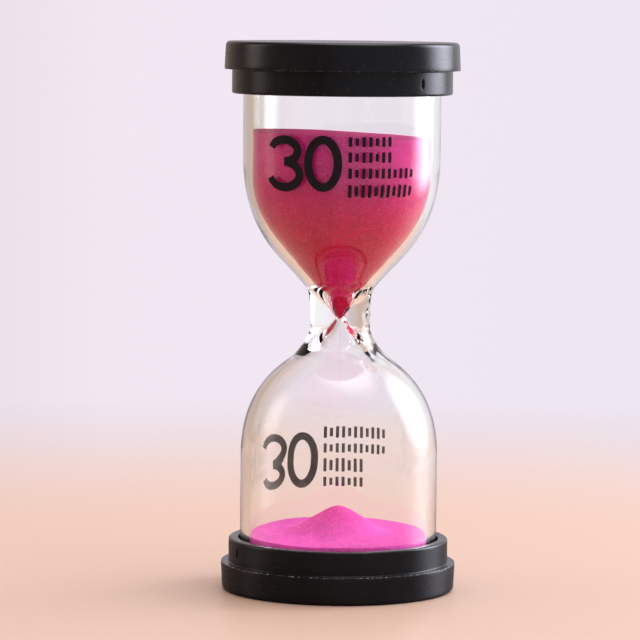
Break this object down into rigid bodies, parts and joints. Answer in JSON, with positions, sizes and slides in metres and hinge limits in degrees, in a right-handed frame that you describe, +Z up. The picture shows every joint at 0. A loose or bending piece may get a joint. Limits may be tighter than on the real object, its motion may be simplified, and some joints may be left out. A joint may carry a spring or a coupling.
{
  "type": "hourglass",
  "caption": "Sand timer: a necked glass tube holding coloured sand between two flanged round plastic caps, standing on either end.",
  "frame": {"origin": "centre of the lower cap's end face, which the timer stands on", "axes": "+Z up along the timer's axis from the lower cap to the upper cap, -Y towards the front, +X to the viewer's right"},
  "size_m": [0.042, 0.042, 0.098],
  "materials": {
    "glass": "clear, polished",
    "cap_plastic": "moulded, semi-gloss black",
    "stopper_rubber": "smooth, matt",
    "adhesive": "set hot-melt, translucent",
    "upper_sand": "dyed crimson grains, matt",
    "lower_sand": "dyed pink grains, matt"
  },
  "bodies": {
    "root": {"glass_body": "glass", "upper_cap": "cap_plastic", "lower_cap": "cap_plastic", "upper_stopper": "stopper_rubber", "lower_stopper": "stopper_rubber", "upper_adhesive": "adhesive", "lower_adhesive": "adhesive", "upper_sand": "upper_sand", "lower_sand": "lower_sand"}
  },
  "joints": []
}
